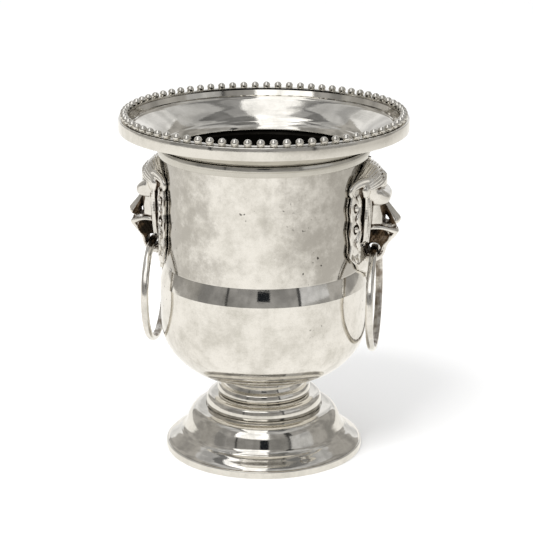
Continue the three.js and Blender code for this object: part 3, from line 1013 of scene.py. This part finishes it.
def wall_card(name, radius, start, end, base, top, strength, tint=WHITE_TINT):
    """A curved card round the bucket, between two azimuths from the camera's, in degrees."""
    vertices, faces = [], []
    for i in range(CARD_STEPS + 1):
        azimuth = math.radians(start + (end - start) * i / CARD_STEPS)
        vertices.append(tuple(toward_camera(radius, azimuth, base)))
        vertices.append(tuple(toward_camera(radius, azimuth, top)))
    for i in range(CARD_STEPS):
        faces.append((2 * i, 2 * i + 2, 2 * i + 3, 2 * i + 1))
    emission_card(name, vertices, faces, strength, tint)


def flat_card(name, right, front, height, strength, light=clouded_light):
    """A level card; right and front are spans from the axis, as the camera sees them."""
    across = toward_camera(1, math.radians(90))
    ahead = toward_camera(1)
    corners = []
    for r, f in ((right[0], front[0]), (right[1], front[0]), (right[1], front[1]), (right[0], front[1])):
        corners.append(tuple(across * r + ahead * f + Vector((0, 0, height))))
    emission_card(name, corners, [(0, 1, 2, 3)], strength, light=light)


def make_floor():
    """The white floor, seen by the camera but not by reflections."""
    mesh = bpy.data.meshes.new("floor")
    corners = [(x * FLOOR_HALF, y * FLOOR_HALF, 0) for x, y in ((-1, -1), (1, -1), (1, 1), (-1, 1))]
    mesh.from_pydata(corners, [], [(0, 1, 2, 3)])
    floor = bpy.data.objects.new("floor", mesh)
    bpy.context.scene.collection.objects.link(floor)
    material, nodes, links, shader = new_material("floor")
    shader.inputs["Roughness"].default_value = 0.9
    shader.inputs["Specular IOR Level"].default_value = 0.1
    tone = mix_colour(nodes, links, noise(nodes, links, 3, 2), *FLOOR_WHITES)
    links.new(tone, shader.inputs["Base Color"])
    mesh.materials.append(material)
    floor.visible_glossy = False


def make_cards():
    """What the silver mirrors. Spans and heights are in metres, wall cards' azimuths in degrees."""
    flat_card("mirrored_floor", (-5, 5), (-5, 5), -0.0005, 1.0, light=floor_light)
    flat_card("ceiling", (-4, 4), (-4, 4), 2.4, 0.58)
    flat_card("dim_ceiling", (-1.25, 1.1), (-1.0, 1.2), 2.25, 0.22)
    flat_card("softbox", (-0.95, 0.15), (-0.32, 2.2), 2.15, 1.7)
    flat_card("back_softbox", (-0.36, 0.2), (-0.88, -0.3), 2.14, 1.4)
    flat_card("back_softbox_glow", (-0.6, 0.48), (-0.88, -0.3), 2.2, 0.45)
    wall_card("front_softbox", 1.9, -46, 8, 0.95, 2.12, 1.5)
    wall_card("camera_side", 2.4, -75, 75, -0.01, 1.1, 0.33, WARM)
    wall_card("camera_side_upper", 2.4, -75, 75, 1.1, 2.4, 0.42, WARM)
    wall_card("right_of_camera", 2.3, 40, 75, 0.3, 1.25, 0.6)
    wall_card("left_edge", 2.2, -42, -39.5, 0.0, 1.3, 0.04)
    wall_card("right_edge", 2.2, 36.5, 40, 0.0, 1.25, 0.06)
    wall_card("right_edge_upper", 2.2, 35, 46, 1.25, 2.1, 0.06)
    wall_card("left_side", 2.4, -150, -75, -0.01, 2.4, 0.45, WARMER)
    wall_card("right_side", 2.4, 75, 150, -0.01, 2.4, 0.42, WARMER)
    wall_card("behind", 2.4, 150, 210, -0.01, 2.4, 0.9)
    wall_card("camera_block", 1.46, -7, 7, 0.39, 0.68, 0.02, BLUISH)


def area_light(name, location, aim, size, power):
    data = bpy.data.lights.new(name, "AREA")
    data.shape = "SQUARE"
    data.size = size
    data.energy = power
    light = bpy.data.objects.new(name, data)
    light.location = location
    light.rotation_euler = (Vector(aim) - Vector(location)).to_track_quat("-Z", "Y").to_euler()
    light.visible_glossy = False
    bpy.context.scene.collection.objects.link(light)


def make_world():
    world = bpy.data.worlds.new("studio")
    world.use_nodes = True
    background = world.node_tree.nodes["Background"]
    background.inputs["Color"].default_value = (1, 1, 1, 1)
    background.inputs["Strength"].default_value = 1.0
    bpy.context.scene.world = world


make_floor()
make_cards()
area_light("key", toward_camera(1.1, math.radians(-33), 1.9), (0, 0, 0.1), 0.9, 30)
make_world()
bpy.context.scene.view_settings.view_transform = "Standard"

# ---------------------------------------------------------------- CAD nodes that stay
FASTENERS = ("foot_bolt", "foot_washer", "foot_nut", "mask_screw_right_upper", "mask_screw_right_lower",
             "mask_screw_left_upper", "mask_screw_left_lower")
for node in FASTENERS:
    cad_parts[node].material_slots[0].material = fastener_metal
